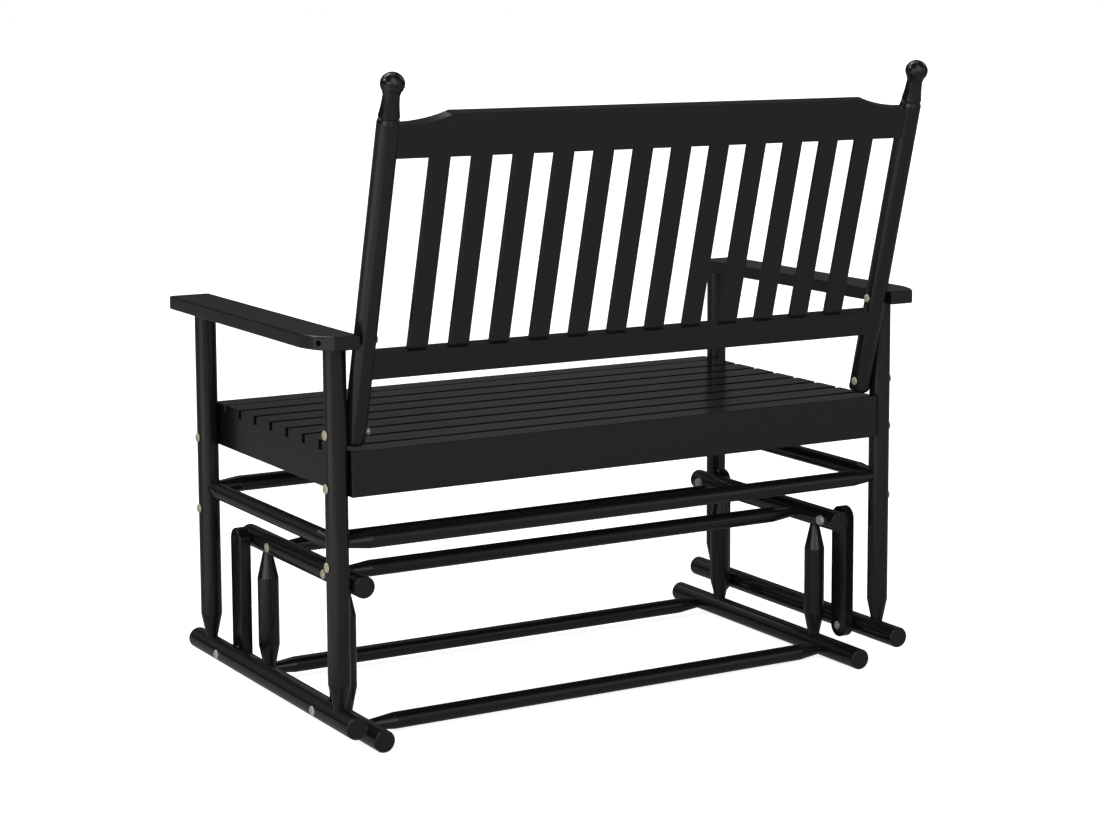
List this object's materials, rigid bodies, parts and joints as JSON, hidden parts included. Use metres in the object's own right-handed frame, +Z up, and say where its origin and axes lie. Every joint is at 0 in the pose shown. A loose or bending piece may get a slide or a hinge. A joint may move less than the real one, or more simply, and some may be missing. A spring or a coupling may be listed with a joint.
{
  "type": "swing bench",
  "caption": "Glider porch bench: slatted seat and back in a dowel frame with armrests and ball finials, hung on flat links inside a low dowel base so that it swings level.",
  "frame": {"origin": "on the floor, midway between the four seat posts", "axes": "+Z up; -Y the way a sitter faces; +X the sitter's left; links plumb at rest"},
  "size_m": [1.125, 0.7268, 1.0424],
  "materials": {
    "black_painted_wood": "brushed satin black paint on hardwood",
    "zinc_plated_steel": "zinc plated, slightly yellow"
  },
  "bodies": {
    "base": {"base_floor_cross_front": "black_painted_wood", "base_floor_cross_rear": "black_painted_wood", "base_floor_rail_left": "black_painted_wood", "base_floor_rail_right": "black_painted_wood", "base_hanger_rail_left": "black_painted_wood", "base_hanger_rail_right": "black_painted_wood", "base_top_cross_front": "black_painted_wood", "base_top_cross_rear": "black_painted_wood", "base_upright_front_left": "black_painted_wood", "base_upright_front_right": "black_painted_wood", "base_upright_rear_left": "black_painted_wood", "base_upright_rear_right": "black_painted_wood", "pivot_bolt_top_front_left": "zinc_plated_steel", "pivot_bolt_top_front_right": "zinc_plated_steel", "pivot_bolt_top_rear_left": "zinc_plated_steel", "pivot_bolt_top_rear_right": "zinc_plated_steel"},
    "seat": {"armrest_left": "black_painted_wood", "armrest_right": "black_painted_wood", "back_crest_rail": "black_painted_wood", "back_lower_rail": "black_painted_wood", "back_post_left": "black_painted_wood", "back_post_right": "black_painted_wood", "back_slat_01": "black_painted_wood", "back_slat_02": "black_painted_wood", "back_slat_03": "black_painted_wood", "back_slat_04": "black_painted_wood", "back_slat_05": "black_painted_wood", "back_slat_06": "black_painted_wood", "back_slat_07": "black_painted_wood", "back_slat_08": "black_painted_wood", "back_slat_09": "black_painted_wood", "back_slat_10": "black_painted_wood", "back_slat_11": "black_painted_wood", "back_slat_12": "black_painted_wood", "pivot_bolt_low_front_left": "zinc_plated_steel", "pivot_bolt_low_front_right": "zinc_plated_steel", "pivot_bolt_low_rear_left": "zinc_plated_steel", "pivot_bolt_low_rear_right": "zinc_plated_steel", "seat_bottom_rail_left": "black_painted_wood", "seat_bottom_rail_right": "black_painted_wood", "seat_front_stretcher": "black_painted_wood", "seat_panel_frame": "black_painted_wood", "seat_post_front_left": "black_painted_wood", "seat_post_front_right": "black_painted_wood", "seat_post_rear_left": "black_painted_wood", "seat_post_rear_right": "black_painted_wood", "seat_rear_stretcher": "black_painted_wood", "seat_side_stretcher_left": "black_painted_wood", "seat_side_stretcher_right": "black_painted_wood", "seat_slat_01": "black_painted_wood", "seat_slat_02": "black_painted_wood", "seat_slat_03": "black_painted_wood", "seat_slat_04": "black_painted_wood", "seat_slat_05": "black_painted_wood", "seat_slat_06": "black_painted_wood", "seat_slat_07": "black_painted_wood"},
    "link_front_left": {"swing_link_front_left": "black_painted_wood"},
    "link_front_right": {"swing_link_front_right": "black_painted_wood"},
    "link_rear_left": {"swing_link_rear_left": "black_painted_wood"},
    "link_rear_right": {"swing_link_rear_right": "black_painted_wood"}
  },
  "joints": [
    {"name": "front_left_link_swing", "type": "hinge", "parent": "base", "child": "link_front_left", "pos_m": [0.4795, -0.193, 0.2453], "axis": [1, 0, 0], "range_deg": [-12, 12]},
    {"name": "front_right_link_swing", "type": "hinge", "parent": "base", "child": "link_front_right", "pos_m": [-0.4795, -0.193, 0.2453], "axis": [1, 0, 0], "range_deg": [-12, 12]},
    {"name": "rear_left_link_swing", "type": "hinge", "parent": "base", "child": "link_rear_left", "pos_m": [0.4795, 0.193, 0.2453], "axis": [1, 0, 0], "range_deg": [-12, 12]},
    {"name": "rear_right_link_swing", "type": "hinge", "parent": "base", "child": "link_rear_right", "pos_m": [-0.4795, 0.193, 0.2453], "axis": [1, 0, 0], "range_deg": [-12, 12]},
    {"name": "seat_swing", "type": "hinge", "parent": "link_rear_left", "child": "seat", "pos_m": [0.4795, 0.193, 0.0543], "axis": [1, 0, 0], "range_deg": [-12, 12]}
  ],
  "couplings": [
    {"joint": "front_left_link_swing", "follows": "rear_left_link_swing", "ratio": 1},
    {"joint": "front_right_link_swing", "follows": "rear_left_link_swing", "ratio": 1},
    {"joint": "rear_right_link_swing", "follows": "rear_left_link_swing", "ratio": 1},
    {"joint": "seat_swing", "follows": "rear_left_link_swing", "ratio": -1}
  ]
}
